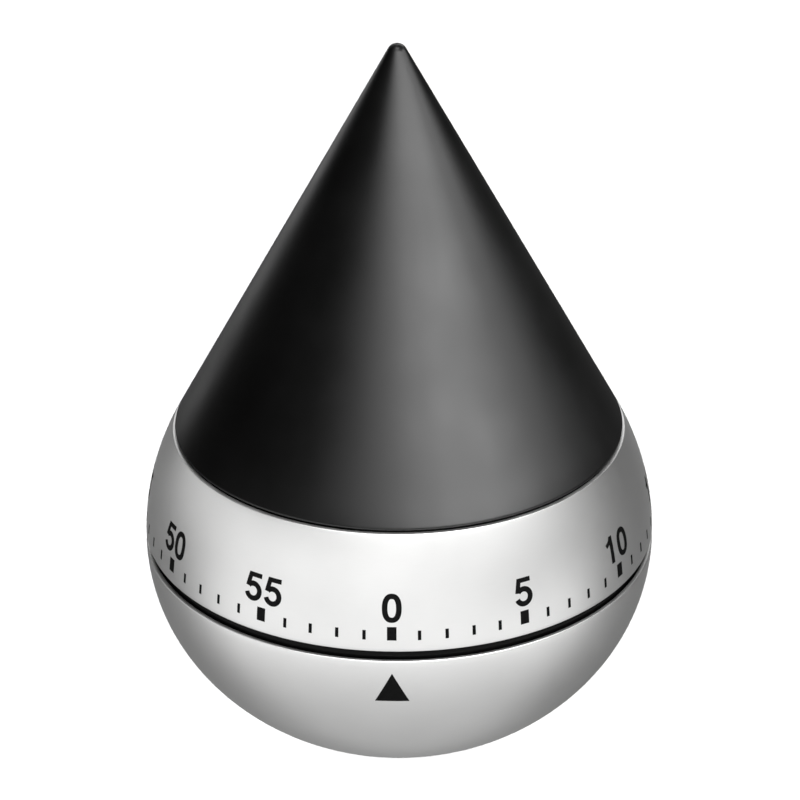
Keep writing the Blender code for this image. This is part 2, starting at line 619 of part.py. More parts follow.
def hammer_group(steel, brass, spring_steel):
    """The arbor, the pallet at the star wheel, and the arm whose head strikes the bell."""
    shaft = [(0.0, 28.2 * MM), (PIVOT_RADIUS, 28.2 * MM), (PIVOT_RADIUS, 26.85 * MM),
             (SHAFT_RADIUS, 26.85 * MM), (SHAFT_RADIUS, 5.6 * MM), (0.0, 5.6 * MM)]
    revolve("hammer_arbor", shaft, 10, steel, HAMMER)
    bore = SHAFT_RADIUS + RUNNING
    to_strike = math.atan2(STRIKE[1] - HAMMER[1], STRIKE[0] - HAMMER[0])
    pallet = mm([(-1.5, -0.9), (-0.6, -1.6), (1.6, -3.6), (2.5, -3.4), (2.4, -2.5), (1.5, -1.1),
                 (1.5, 1.1), (2.4, 2.5), (2.5, 3.4), (1.6, 3.6), (-0.6, 1.6), (-1.5, 0.9)])
    plate("hammer_pallet", [turned_about(pallet, to_strike), circle(bore, 10)], STRIKE_LEVEL,
          steel, HAMMER)
    head_radius, head_gap = 1.7 * MM, 0.8 * MM
    head = polar(BELL_RADIUS + head_gap + head_radius, HAMMER_ANGLE + math.radians(28.0))
    arm_angle = math.atan2(head[1] - HAMMER[1], head[0] - HAMMER[0])
    length = math.hypot(head[0] - HAMMER[0], head[1] - HAMMER[1])
    half_arm, hub = 0.5 * MM, 1.5 * MM
    outline = arc(hub, math.radians(30.0), math.radians(330.0), 11)
    outline += [(length, -half_arm), (length, half_arm)]
    arm = plate("hammer", [turned_about(outline, arm_angle), circle(bore, 10)],
                (6.6 * MM, 7.6 * MM), brass, HAMMER)
    centre = turned_about([(length, 0.0)], arm_angle)[0]
    boolean(arm, "UNION", helper("hammer_head", [circle(head_radius, 14, centre)],
                                 (4.9 * MM, 7.9 * MM), HAMMER))
    hammer_spring(spring_steel)


def coil(centre, radius, bottom, top, turns, start, per_turn=9):
    steps = int(turns * per_turn)
    points = []
    for step in range(steps + 1):
        x, y = polar(radius, start + math.tau * step / per_turn, centre)
        points.append((x, y, bottom + (top - bottom) * step / steps))
    return points


def hammer_spring(spring_steel):
    """A torsion spring round the hammer's arbor: one leg at a pillar, one under the pallet."""
    radius, bottom, top, turns = 1.35 * MM, 17.0 * MM, 18.6 * MM, 3.0
    pillar = polar(PILLAR_REACH, PILLAR_ANGLES[2])
    toward = math.atan2(pillar[1] - HAMMER[1], pillar[0] - HAMMER[0])
    points = coil(HAMMER, radius, bottom, top, turns, toward - math.pi / 2)
    foot = points[0]
    leg = (foot[0] + 7.0 * MM * math.cos(toward), foot[1] + 7.0 * MM * math.sin(toward), bottom)
    raised = (points[-1][0], points[-1][1], STRIKE_LEVEL[0] - GAP)
    wire("hammer_spring", [leg] + points + [raised], 0.2 * MM, spring_steel)


def release_lever(steel, spring_steel):
    """The bell crank that follows the cam, its stud, and the wire that presses it on the cam."""
    finger_end, finger_root, half_finger = CAM_RADIUS + 0.2 * MM, CAM_RADIUS + 2.3 * MM, 0.45 * MM
    elbow = polar(CAM_RADIUS + 2.0 * MM, CAM_ANGLE)
    tab = polar(21.5 * MM, TRAIN_ANGLE + math.radians(184.0))
    reach_finger = (elbow[0] - LEVER[0], elbow[1] - LEVER[1])
    reach_tab = (tab[0] - LEVER[0], tab[1] - LEVER[1])
    bore = 1.08 * MM
    lever = plate("release_lever", [crank_outline(reach_finger, reach_tab), circle(bore, 10)],
                  CAM_LEVEL, steel, LEVER)
    finger = turned_about([(finger_end, -half_finger), (finger_root, -half_finger),
                           (finger_root, half_finger), (finger_end, half_finger)], CAM_ANGLE)
    boolean(lever, "UNION", helper("lever_finger", [finger],
                                   (CAM_LEVEL[0] + 0.1 * MM, CAM_LEVEL[1] - 0.1 * MM)))
    half = 0.6 * MM
    foot = [(reach_tab[0] + x, reach_tab[1] + y) for x, y in square_outline(half)]
    boolean(lever, "UNION", helper("lever_tab", [foot], (STRIKE_LEVEL[0], CAM_LEVEL[1] - 0.4 * MM), LEVER))
    stud = mm([(0.0, 28.2), (0.8, 28.2), (0.8, 26.7), (1.0, 26.7), (1.0, 25.1), (1.6, 25.1),
               (1.6, 24.6), (0.0, 24.6)])
    revolve("lever_stud", stud, 10, steel, LEVER)
    pillar = polar(PILLAR_REACH, PILLAR_ANGLES[1])
    middle = (LEVER[0] + reach_finger[0] / 2, LEVER[1] + reach_finger[1] / 2)
    away = math.atan2(reach_finger[1], reach_finger[0]) + math.pi / 2
    contact = polar(1.3 * MM, away, middle)
    toward = math.atan2(contact[1] - pillar[1], contact[0] - pillar[0])
    turns = coil(pillar, 1.8 * MM, 24.6 * MM, 25.8 * MM, 2.0, toward + math.pi / 2)
    wire("lever_spring", turns + [(contact[0], contact[1], 25.8 * MM)], 0.2 * MM, spring_steel)


def crank_outline(first, second):
    """A lever with a round hub at the origin and two arms, each narrowing to its end."""
    hub, root_half, end_half = 2.0 * MM, 1.1 * MM, 0.55 * MM
    outline = []
    for reach in (first, second):
        length = math.hypot(*reach)
        angle = math.atan2(reach[1], reach[0])
        inner = math.sqrt(hub ** 2 - root_half ** 2)
        arm = [(inner, -root_half), (length, -end_half), (length, end_half), (inner, root_half)]
        outline.append((angle, turned_about(arm, angle)))
    outline.sort()
    points = []
    for number, (angle, arm) in enumerate(outline):
        points += arm
        following = outline[(number + 1) % 2][0] + (math.tau if number else 0.0)
        spread = math.asin(root_half / hub) + 0.15
        points += arc(hub, angle + spread, following - spread, 5)
    return points


def bell(bell_metal, steel):
    thickness, mouth_z, height = 0.8 * MM, 4.9 * MM, 3.9 * MM
    hole = 1.4 * MM
    crown = math.acos(hole / BELL_RADIUS)
    crown_in = math.acos(hole / (BELL_RADIUS - thickness))
    outer = arc(BELL_RADIUS, crown, 0.0, 5, (0.0, mouth_z), height)
    inner = arc(BELL_RADIUS - thickness, 0.0, crown_in, 4, (0.0, mouth_z), height - thickness)
    revolve("bell", outer + inner, 28, bell_metal)
    post = mm([(0.0, 10.8), (1.3, 10.8), (1.3, 7.7), (2.6, 7.7), (2.6, 4.3), (1.25, 4.3),
               (1.25, 2.6), (0.0, 2.6)])
    revolve("bell_post", post, 12, steel)
    plate("bell_nut", [circle(2.7 * MM, 6), circle(1.4 * MM, 10)], (9.1 * MM, 10.5 * MM), steel)


# ---------------------------------------------------------------- clockwork frame

def hole(radius, place):
    """An outline whose flats touch a circle of the radius, so that a shaft keeps its clearance."""
    return circle(radius / math.cos(math.pi / 8), 8, place)


def plates(brass, steel):
    pillar_holes = [hole(1.0 * MM, polar(PILLAR_REACH, angle)) for angle in PILLAR_ANGLES]
    pivot = PIVOT_RADIUS + RUNNING
    pivots = [hole(pivot, place) for place in (SECOND, THIRD, ESCAPE, STRIKE)]
    balance_pivot = hole(0.43 * MM, BALANCE)
    screw_holes = [hole(1.0 * MM, polar(BOSS_REACH, angle)) for angle in BOSS_ANGLES]
    back = [circle(25.3 * MM, INNER_SIDES), hole(1.28 * MM, MAIN), balance_pivot,
            hole(SHAFT_RADIUS + RUNNING, HAMMER)] + pillar_holes + pivots + screw_holes
    plate("back_plate", back, BACK_PLATE, brass)
    front = [circle(26.0 * MM, INNER_SIDES), circle(3.75 * MM, 14), balance_pivot, hole(pivot, HAMMER),
             hole(0.9 * MM, LEVER), hole(0.52 * MM, polar(STOP_REACH, STOP_ANGLE))]
    plate("front_plate", front + pillar_holes + pivots, FRONT_PLATE, brass)
    bore = ARBOR_RADIUS + RUNNING
    bush = [(bore, 28.8 * MM), (4.6 * MM, 28.8 * MM), (4.6 * MM, 28.15 * MM), (3.6 * MM, 28.15 * MM),
            (3.6 * MM, 26.9 * MM), (bore, 26.9 * MM)]
    revolve("arbor_bush", bush, 16, brass)
    neck, body = 0.9 * MM, 1.5 * MM
    low, high = BACK_PLATE[1] + 0.15 * MM, FRONT_PLATE[0] - 0.15 * MM
    profile = [(0.0, 29.9 * MM), (neck, 29.9 * MM), (neck, high), (body, high), (body, low),
               (neck, low), (neck, 11.6 * MM), (0.0, 11.6 * MM)]
    for number, angle in enumerate(PILLAR_ANGLES, 1):
        place = polar(PILLAR_REACH, angle)
        revolve(f"pillar_{number}", profile, 12, steel, place)
        plate(f"pillar_nut_{number}", [circle(2.0 * MM, 6), circle(1.0 * MM, 10)],
              (28.15 * MM, 29.5 * MM), steel, place)


# ---------------------------------------------------------------- the timer

def build():
    clear_scene()
    soft_touch = material("soft_touch_black", (0.018, 0.018, 0.019), 0.55, 0.0)
    satin_steel = material("satin_steel", (0.66, 0.66, 0.65), 0.32, 1.0)
    black_abs = material("black_abs", (0.012, 0.012, 0.012), 0.5, 0.0)
    rubber = material("foot_rubber", (0.02, 0.02, 0.02), 0.85, 0.0)
    brass = material("brass", (0.78, 0.58, 0.26), 0.35, 1.0)
    steel = material("machine_steel", (0.55, 0.55, 0.56), 0.3, 1.0)
    spring_steel = material("spring_steel", (0.22, 0.26, 0.34), 0.3, 1.0)
    bell_metal = material("bell_metal", (0.75, 0.75, 0.74), 0.15, 1.0)

    cone_cap(soft_touch)
    dial_ring(satin_steel)
    lower_cup(satin_steel)
    inner_housing(black_abs)
    base_plate(black_abs)
    foot_ring(rubber)
    dial_carrier(black_abs)
    screws(steel)

    main_arbor(steel)
    going_train(brass, steel)
    clutch(spring_steel)
    release_cam(steel)
    stop(steel)
    balance(brass, steel)

    barrel(brass)
    mainspring(spring_steel)
    strike_train(brass, steel)
    hammer_group(steel, brass, spring_steel)
    release_lever(steel, spring_steel)
    bell(bell_metal, steel)
    plates(brass, steel)


build()
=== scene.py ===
"""Looks of the drop-shaped kitchen timer: fine shells, printed scale and materials round the frame."""

import json
import math

import bmesh
import bpy
from mathutils import Matrix, Vector


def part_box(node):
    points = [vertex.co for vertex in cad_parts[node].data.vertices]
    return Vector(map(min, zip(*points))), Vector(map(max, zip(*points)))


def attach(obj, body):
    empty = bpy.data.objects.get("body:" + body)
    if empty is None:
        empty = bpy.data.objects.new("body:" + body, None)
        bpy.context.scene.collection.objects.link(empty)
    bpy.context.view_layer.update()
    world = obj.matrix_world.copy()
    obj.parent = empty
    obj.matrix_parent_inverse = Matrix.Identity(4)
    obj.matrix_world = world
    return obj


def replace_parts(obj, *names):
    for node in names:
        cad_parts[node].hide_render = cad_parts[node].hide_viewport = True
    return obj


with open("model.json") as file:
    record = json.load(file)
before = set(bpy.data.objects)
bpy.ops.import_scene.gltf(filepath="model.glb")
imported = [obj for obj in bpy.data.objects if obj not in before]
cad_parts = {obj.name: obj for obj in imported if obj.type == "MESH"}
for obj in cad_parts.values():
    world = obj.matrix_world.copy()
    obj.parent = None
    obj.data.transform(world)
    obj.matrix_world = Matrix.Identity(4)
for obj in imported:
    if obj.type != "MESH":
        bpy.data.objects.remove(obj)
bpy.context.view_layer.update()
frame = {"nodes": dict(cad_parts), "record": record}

MM = 0.001

# The outside's form, as the CAD parts have it.
BODY_RADIUS = 33.0 * MM
EQUATOR_Z = 25.0 * MM
CUP_DEPTH = 28.7 * MM
CONE_HALF_ANGLE = math.radians(28.2)
TIP_RADIUS = 1.3 * MM
STEEL = 0.6 * MM
SHELL_SIDES = 224
HOLE_SIDES = 28
GAP = 0.3 * MM
THIRDS = [math.radians(90.0 + 120.0 * number) for number in range(3)]
BASE_SCREW_REACH = 8.0 * MM

CAP_LOW, CAP_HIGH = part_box("cone_cap")
RING_LOW, RING_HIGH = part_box("dial_ring")
CUP_LOW, CUP_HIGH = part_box("lower_cup")
HOUSING_LOW, HOUSING_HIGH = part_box("inner_housing")
BASE_LOW, BASE_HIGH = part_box("base_plate")
FOOT_LOW, FOOT_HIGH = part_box("foot_ring")
CAP_EDGE_Z = RING_HIGH.z + GAP

# The printed scale and the index mark, measured along the steel.
MINUTES = 60
PRINT_HEIGHT = 0.012 * MM
PRINT_DEPTH = 0.010 * MM
PRINT_STEP = 0.001 * MM
TICK_FOOT = 1.60 * MM
MINOR_TICK = (0.42 * MM, 1.30 * MM)
MAJOR_TICK = (1.16 * MM, 1.82 * MM)
NUMERAL_FOOT = 4.02 * MM
NUMERAL_HEIGHT = 3.72 * MM
NUMERAL_ADVANCE = 2.84 * MM
INDEX_DROP = 1.8 * MM
INDEX_SIZE = (4.43 * MM, 4.53 * MM)

# Line widths and spacings of a digit, as shares of its height.
STEM = 0.186
BAR = 0.164
DIGIT_WIDTH = 0.652
STROKE_STEP = 0.07

# A noise texture's values lie almost all between these two.
NOISE_LOW, NOISE_HIGH = 0.3, 0.7

# The lamps point at the middle of the timer.
LAMP_TARGET = Vector((0.0, 0.0, 40.0 * MM))


# ---------------------------------------------------------------- mesh helpers

def link(name, data, body, look):
    """A new piece that rides on a body, in the given material."""
    piece = bpy.data.objects.new(name, data)
    bpy.context.scene.collection.objects.link(piece)
    data.materials.append(look)
    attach(piece, body)
    return piece


def mesh_from(name, bm, sharp=35.0):
    """The finished mesh: welded, faces out, smooth but for edges sharper than the given degrees."""
    bmesh.ops.remove_doubles(bm, verts=bm.verts, dist=1e-7)
    bmesh.ops.recalc_face_normals(bm, faces=bm.faces)
    mesh = bpy.data.meshes.new(name)
    bm.to_mesh(mesh)
    bm.free()
    mesh.shade_smooth()
    mesh.set_sharp_from_angle(angle=math.radians(sharp))
    return mesh


def revolved(name, profile, sides=SHELL_SIDES, sharp=35.0):
    """Spin a profile of (radius, z) points about Z; one clear of the axis is a closed ring."""
    bm = bmesh.new()
    verts = [bm.verts.new((r, 0.0, z)) for r, z in profile]
    edges = [bm.edges.new(pair) for pair in zip(verts, verts[1:])]
    if profile[0][0] > 0.0:
        edges.append(bm.edges.new((verts[-1], verts[0])))
    bmesh.ops.spin(bm, geom=verts + edges, cent=(0, 0, 0), axis=(0, 0, 1), dvec=(0, 0, 0),
                   angle=math.tau, steps=sides, use_merge=True)
    return mesh_from(name, bm, sharp)


def ring_places(reach, angles):
    """Points at one distance from the Z axis."""
    return [(reach * math.cos(angle), reach * math.sin(angle)) for angle in angles]


def rods(places, radius, low, high, sides=HOLE_SIDES):
    """Upright round rods at the given places, as one mesh to join or cut with."""
    bm = bmesh.new()
    for x, y in places:
        place = Matrix.Translation((x, y, (low + high) / 2))
        bmesh.ops.create_cone(bm, cap_ends=True, segments=sides, radius1=radius, radius2=radius,
                              depth=high - low, matrix=place)
    mesh = bpy.data.meshes.new("tool")
    bm.to_mesh(mesh)
    bm.free()
    return mesh


def combined(mesh, steps, sharp=35.0):
    """The mesh after each (operation, tool) in turn."""
    piece = bpy.data.objects.new("piece", mesh)
    bpy.context.scene.collection.objects.link(piece)
    for operation, tool_mesh in steps:
        tool = bpy.data.objects.new("tool", tool_mesh)
        bpy.context.scene.collection.objects.link(tool)
        cut = piece.modifiers.new("cut", "BOOLEAN")
        cut.operation = operation
        cut.object = tool
        made = bpy.data.meshes.new_from_object(piece.evaluated_get(bpy.context.evaluated_depsgraph_get()))
        piece.modifiers.clear()
        piece.data = made
        bpy.data.objects.remove(tool)
    result = piece.data
    bpy.data.objects.remove(piece)
    result.shade_smooth()
    result.set_sharp_from_angle(angle=math.radians(sharp))
    return result


def arc(radius, start, end, count, centre=(0.0, 0.0), height=None):
    """Points along a circle's arc, or an ellipse's where height differs from radius."""
    height = radius if height is None else height
    angles = [start + (end - start) * number / (count - 1) for number in range(count)]
    return [(centre[0] + radius * math.cos(a), centre[1] + height * math.sin(a)) for a in angles]


def sphere_arc(radius, z_from, z_to, count):
    """Profile points on a sphere about the equator's middle, from one height to another."""
    start = math.asin((z_from - EQUATOR_Z) / radius)
    end = math.asin((z_to - EQUATOR_Z) / radius)
    return arc(radius, start, end, count, (0.0, EQUATOR_Z))


def cup_arc(inset, z_from, z_to, count):
    """Profile points on the bowl, a little shallower than a sphere, or inset from it."""
    height = CUP_DEPTH - inset
    start = math.asin((z_from - EQUATOR_Z) / height)
    end = math.asin((z_to - EQUATOR_Z) / height)
    return arc(BODY_RADIUS - inset, start, end, count, (0.0, EQUATOR_Z), height)


def rounded(profile, radius, steps=4):
    """The closed profile with each corner sharper than 40 degrees rounded off."""
    least_turn, longest_share = math.radians(40.0), 0.45
    points = [Vector(p) for p in profile]
    result = []
    for number, corner in enumerate(points):
        before = points[number - 1] - corner
        after = points[(number + 1) % len(points)] - corner
        turn = math.pi - before.angle(after)
        if turn < least_turn:
            result.append(tuple(corner))
            continue
        reach = min(radius * math.tan(turn / 2), longest_share * before.length, longest_share * after.length)
        start, end = corner + before.normalized() * reach, corner + after.normalized() * reach
        for step in range(steps + 1):
            t = step / steps
            point = start.lerp(corner, t).lerp(corner.lerp(end, t), t)
            result.append(tuple(point))
    return result


# ---------------------------------------------------------------- shells

def cone_radius(z, inset=0.0):
    """The cone's radius at a height; its flank is tangent to the body's sphere."""
    apex = EQUATOR_Z + (BODY_RADIUS - inset) / math.sin(CONE_HALF_ANGLE)
    return (apex - z) * math.tan(CONE_HALF_ANGLE)


def soft_cap(look):
    """The black cone: one straight flank with a round tip, a soft lower edge and a skirt."""
    wall, roof_z = 2.0 * MM, 85.0 * MM
    skirt_outer, skirt_inner = 28.0 * MM, 26.2 * MM
    boss_reach, boss, boss_top = 22.0 * MM, 2.2 * MM, 47.0 * MM
    hole, hole_top = 0.95 * MM, 45.0 * MM
    tip_z = CAP_HIGH.z - TIP_RADIUS
    edge, edge_steps = 0.45 * MM, 6
    flank_foot, flank_steps = CAP_EDGE_Z + edge, 24
    profile = arc(TIP_RADIUS, math.pi / 2, CONE_HALF_ANGLE, 12, (0.0, tip_z))
    profile[0] = (0.0, tip_z + TIP_RADIUS)
    flank_top = profile[-1][1]
    flank = [flank_top + (flank_foot - flank_top) * n / flank_steps for n in range(1, flank_steps + 1)]
    profile += [(cone_radius(z), z) for z in flank]
    start, end = (cone_radius(flank_foot), flank_foot), (cone_radius(CAP_EDGE_Z) - edge, CAP_EDGE_Z)
    corner = (cone_radius(CAP_EDGE_Z), CAP_EDGE_Z)
    for step in range(1, edge_steps):
        t = step / edge_steps
        profile.append(tuple(Vector(start).lerp(corner, t).lerp(Vector(corner).lerp(end, t), t)))
    profile += [end, (skirt_outer, CAP_EDGE_Z), (skirt_outer, CAP_LOW.z), (skirt_inner, CAP_LOW.z)]
    inner_foot = EQUATOR_Z + (BODY_RADIUS - wall) / math.sin(CONE_HALF_ANGLE)
    inner_foot -= skirt_inner / math.tan(CONE_HALF_ANGLE)
    profile += [(skirt_inner, inner_foot), (cone_radius(roof_z, wall), roof_z), (0.0, roof_z)]
    places = ring_places(boss_reach, THIRDS)
    mesh = combined(revolved("soft_cap", profile), [
        ("UNION", rods(places, boss, CAP_LOW.z, boss_top)),
        ("DIFFERENCE", rods(places, hole, CAP_LOW.z - MM, hole_top)),
    ])
    piece = link("soft_cap", mesh, "dial", look)
    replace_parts(piece, "cone_cap")
    return piece


def steel_dial(look):
    """The steel ring that carries the scale: a thin band of the sphere with eased edges."""
    outer = sphere_arc(BODY_RADIUS, RING_HIGH.z, RING_LOW.z, 24)
    inner = sphere_arc(BODY_RADIUS - STEEL, RING_LOW.z, RING_HIGH.z, 14)
    profile = rounded(outer + inner, 0.14 * MM)
    piece = link("steel_dial", revolved("steel_dial", profile, sharp=60.0), "dial", look)
    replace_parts(piece, "dial_ring")


def steel_bowl(look):
    """The steel bowl, with a flat flange below that the base holds."""
    flange_inner = 16.0 * MM
    outer = cup_arc(0.0, CUP_HIGH.z, CUP_LOW.z, 30)
    inner = cup_arc(STEEL, CUP_LOW.z + STEEL, CUP_HIGH.z, 18)
    flange = [(flange_inner, CUP_LOW.z), (flange_inner, CUP_LOW.z + STEEL)]
    profile = rounded(outer + flange + inner, 0.2 * MM)
    piece = link("steel_bowl", revolved("steel_bowl", profile, sharp=60.0), "root", look)
    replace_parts(piece, "lower_cup")


def moulded_housing(look):
    """The black inner case; its narrow band is the dark line between the dial and the bowl."""
    band_outer, band_top, band_low = HOUSING_HIGH.x, RING_LOW.z - GAP, CUP_HIGH.z + GAP
    collar_outer, collar_inner = 31.5 * MM, 30.1 * MM
    bottom, floor_z, wall = HOUSING_LOW.z, HOUSING_LOW.z + 1.6 * MM, 1.6 * MM
    post_hole = 1.35 * MM
    side_reach, side_angles = 21.6 * MM, (25.0, 145.0, 270.0)
    # Radius, foot and top of the bosses for the base and the clockwork, and of their screw holes.
    low_boss, low_hole = (2.2 * MM, floor_z - 0.5 * MM, 6.2 * MM), (1.05 * MM, bottom - MM, 5.8 * MM)
    side_boss, side_hole = (2.0 * MM, 6.3 * MM, 11.7 * MM), (0.95 * MM, 8.2 * MM, 12.0 * MM)
    inset = STEEL + GAP
    profile = [(collar_inner, HOUSING_HIGH.z), (collar_outer, HOUSING_HIGH.z), (collar_outer, band_top),
               (band_outer, band_top), (band_outer, band_low)]
    profile += cup_arc(inset, band_low, bottom, 24)
    profile += [(post_hole, bottom), (post_hole, floor_z)]
    profile += cup_arc(inset + wall, floor_z, EQUATOR_Z - MM, 18)
    profile += [(collar_inner, EQUATOR_Z)]
    low_places = ring_places(BASE_SCREW_REACH, THIRDS)
    side_places = ring_places(side_reach, [math.radians(angle) for angle in side_angles])
    mesh = combined(revolved("moulded_housing", rounded(profile, 0.15 * MM, 2)), [
        ("UNION", rods(low_places, *low_boss)),
        ("UNION", rods(side_places, *side_boss)),
        ("DIFFERENCE", rods(low_places, *low_hole)),
        ("DIFFERENCE", rods(side_places, *side_hole)),
    ])
    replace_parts(link("moulded_housing", mesh, "root", look), "inner_housing")


def moulded_base(look):
    """The black disc under the bowl, with a groove for the foot and three sunk screw holes."""
    groove_inner, groove_outer, groove_top = 12.8 * MM, 15.4 * MM, 1.3 * MM
    rim, boss = BASE_HIGH.x, 15.7 * MM
    head_hole, shank_hole, shank_top = 2.1 * MM, 1.1 * MM, 3.0 * MM
    top, bottom = BASE_HIGH.z, BASE_LOW.z
    profile = [(boss, top), (boss, groove_top), (rim, groove_top), (rim, bottom), (groove_outer, bottom),
               (groove_outer, groove_top), (groove_inner, groove_top), (groove_inner, bottom)]
    profile = [(0.0, top)] + rounded(profile, 0.25 * MM) + [(0.0, bottom)]
    places = ring_places(BASE_SCREW_REACH, THIRDS)
    mesh = combined(revolved("moulded_base", profile), [
        ("DIFFERENCE", rods(places, head_hole, 0.0, groove_top, 40)),
        ("DIFFERENCE", rods(places, shank_hole, 0.0, shank_top)),
    ])
    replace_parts(link("moulded_base", mesh, "root", look), "base_plate")


def rubber_foot(look):
    """The ring that the timer rests on."""
    inner, outer = 13.0 * MM, FOOT_HIGH.x
    profile = rounded([(inner, FOOT_LOW.z), (outer, FOOT_LOW.z), (outer, FOOT_HIGH.z),
                       (inner, FOOT_HIGH.z)], 0.3 * MM)
    piece = link("rubber_foot", revolved("rubber_foot", profile), "root", look)
    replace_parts(piece, "foot_ring")


def slotted_screws(look):
    """The three screws seen from below, each with a domed head and a slot."""
    head, head_height, shank, ease = 1.85 * MM, 0.7 * MM, 0.95 * MM, 0.3 * MM
    half_slot, slot_depth, slot_turn = 0.26 * MM, 0.38 * MM, math.radians(37.0)
    for number, (x, y) in enumerate(ring_places(BASE_SCREW_REACH, THIRDS), 1):
        low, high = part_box(f"base_screw_{number}")
        seat = low.z + head_height
        profile = [(0.0, low.z)] + arc(ease, -math.pi / 2, 0.0, 6, (head - ease, low.z + ease))
        profile += [(head, seat), (shank, seat), (shank, high.z - ease), (shank - ease, high.z),
                    (0.0, high.z)]
        bm = bmesh.new()
        turn = Matrix.Rotation(slot_turn * number, 4, "Z")
        bmesh.ops.create_cube(bm, size=1.0, matrix=turn @ Matrix.Diagonal(
            (2.4 * head, 2 * half_slot, 2 * slot_depth, 1.0)))
        bmesh.ops.translate(bm, verts=bm.verts, vec=(0.0, 0.0, low.z))
        slot_mesh = bpy.data.meshes.new("tool")
        bm.to_mesh(slot_mesh)
        bm.free()
        mesh = combined(revolved("screw", profile, 48), [("DIFFERENCE", slot_mesh)])
        mesh.transform(Matrix.Translation((x, y, 0.0)))
        piece = link(f"slotted_screw_{number}", mesh, "root", look)
        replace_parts(piece, f"base_screw_{number}")


# ---------------------------------------------------------------- print

def on_dial(along, up, height, angle):
    """A point of the steel ring: along the ring and up its curve from the lower edge."""
    foot = math.asin((RING_LOW.z - EQUATOR_Z) / BODY_RADIUS)
    middle = foot + (NUMERAL_FOOT + NUMERAL_HEIGHT / 2) / BODY_RADIUS
    turn = angle + along / (BODY_RADIUS * math.cos(middle))
    lift = foot + up / BODY_RADIUS
    radius = BODY_RADIUS + height
    flat = radius * math.cos(lift)
    return flat * math.sin(turn), -flat * math.cos(turn), EQUATOR_Z + radius * math.sin(lift)


def on_bowl(along, up, height, angle):
    """A point of the steel bowl, up from its upper edge, so a mark below it has a negative up."""
    start = math.asin((CUP_HIGH.z - EQUATOR_Z) / CUP_DEPTH)
    lift = start + up / CUP_DEPTH
    normal = Vector((math.cos(lift) / BODY_RADIUS, math.sin(lift) / CUP_DEPTH)).normalized()
    flat = BODY_RADIUS * math.cos(lift) + height * normal.x
    turn = angle + along / BODY_RADIUS
    z = EQUATOR_Z + CUP_DEPTH * math.sin(lift) + height * normal.y
    return flat * math.sin(turn), -flat * math.cos(turn), z


def ribbon(bm, pairs, surface, angle, closed=False, height=PRINT_HEIGHT):
    """A thin raised band of ink; pairs are its left and right points, in the flat."""
    rings = []
    for left, right in pairs:
        ring = [surface(*left, -PRINT_DEPTH, angle), surface(*right, -PRINT_DEPTH, angle),
                surface(*right, height, angle), surface(*left, height, angle)]
        rings.append([bm.verts.new(point) for point in ring])
    joins = zip(rings, rings[1:] + (rings[:1] if closed else []))
    for near, far in joins:
        for side in range(4):
            following = (side + 1) % 4
            bm.faces.new((near[side], near[following], far[following], far[side]))
    if not closed:
        bm.faces.new(rings[0])
        bm.faces.new(rings[-1])


def block(width, low, high, rows=4):
    """The pairs of an upright bar."""
    levels = [low + (high - low) * row / rows for row in range(rows + 1)]
    return [((-width / 2, level), (width / 2, level)) for level in levels]


def resampled(points, step, closed=False):
    """The polyline with points added so that none are further apart than step."""
    result = []
    ends = list(zip(points, points[1:] + (points[:1] if closed else [])))
    for start, end in ends:
        pieces = max(1, math.ceil(math.dist(start, end) / step))
        for number in range(pieces):
            t = number / pieces
            result.append((start[0] + (end[0] - start[0]) * t, start[1] + (end[1] - start[1]) * t))
    if not closed:
        result.append(points[-1])
    return result


def stroke(points, width, closed=False):
    """Left and right points along a centre line, mitred at its corners."""
    least_cosine = 0.45
    points = resampled(points, STROKE_STEP, closed)
    count = len(points)
    pairs = []
    for number, point in enumerate(points):
        first = points[number - 1] if closed or number else point
        last = points[(number + 1) % count] if closed or number < count - 1 else point
        before, after = Vector(point) - Vector(first), Vector(last) - Vector(point)
        before = before.normalized() if before.length > 0 else after.normalized()
        after = after.normalized() if after.length > 0 else before
        tangent = (before + after).normalized()
        normal = Vector((-tangent.y, tangent.x))
        half = width / 2 / max(least_cosine, tangent.dot(after))
        pairs.append((tuple(Vector(point) + normal * half), tuple(Vector(point) - normal * half)))
    return pairs


def bow(x, y, width, height, start, end, count=15):
    """Points on an ellipse's arc, angles in degrees."""
    return arc(width, math.radians(start), math.radians(end), count, (x, y), height)


def superellipse(x, y, width, height, power, count=36):
    """Points round an ellipse whose sides are straighter the higher its power."""
    points = []
    for number in range(count):
        angle = math.tau * number / count
        cosine, sine = math.cos(angle), math.sin(angle)
        points.append((x + width * math.copysign(abs(cosine) ** (2 / power), cosine),
                       y + height * math.copysign(abs(sine) ** (2 / power), sine)))
    return points


